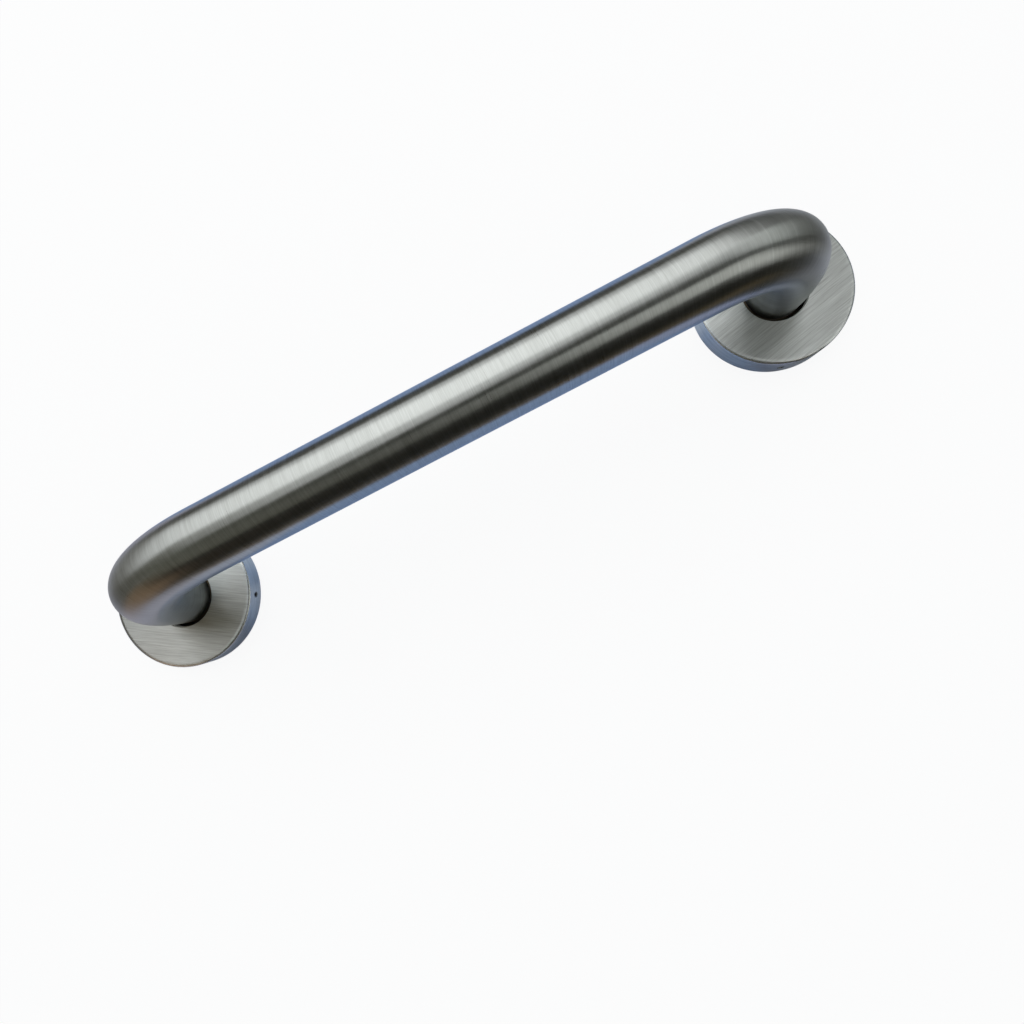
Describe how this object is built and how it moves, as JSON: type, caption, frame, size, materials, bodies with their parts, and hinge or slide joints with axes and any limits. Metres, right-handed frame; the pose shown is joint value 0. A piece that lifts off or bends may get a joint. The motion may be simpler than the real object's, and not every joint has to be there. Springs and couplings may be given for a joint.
{
  "type": "grip handle",
  "caption": "Straight grip handle of bent satin steel tube whose legs pass through round sliding covers over hidden screw-down wall flanges.",
  "frame": {"origin": "on the wall plane, midway between the two legs", "axes": "+X along the bar, +Z out of the wall towards the bar, +Y to the side"},
  "size_m": [0.3664, 0.0666, 0.0787],
  "materials": {
    "tube_steel": "satin, brushed round the tube",
    "cover_steel": "straight brushed face, satin rim",
    "flange_steel": "turned, dull",
    "weld_steel": "as welded and brushed",
    "screw_steel": "plain machined"
  },
  "bodies": {
    "bar": {"grip_tube": "tube_steel", "left_flange": "flange_steel", "right_flange": "flange_steel", "left_weld_bead": "weld_steel", "right_weld_bead": "weld_steel"},
    "left_rose": {"left_cover": "cover_steel", "left_grub_screw": "screw_steel"},
    "right_rose": {"right_cover": "cover_steel", "right_grub_screw": "screw_steel"}
  },
  "joints": [
    {"name": "left_cover_slide", "type": "slide", "parent": "bar", "child": "left_rose", "axis": [0, 0, 1], "range_m": [0, 0.011]},
    {"name": "right_cover_slide", "type": "slide", "parent": "bar", "child": "right_rose", "axis": [0, 0, 1], "range_m": [0, 0.011]}
  ]
}
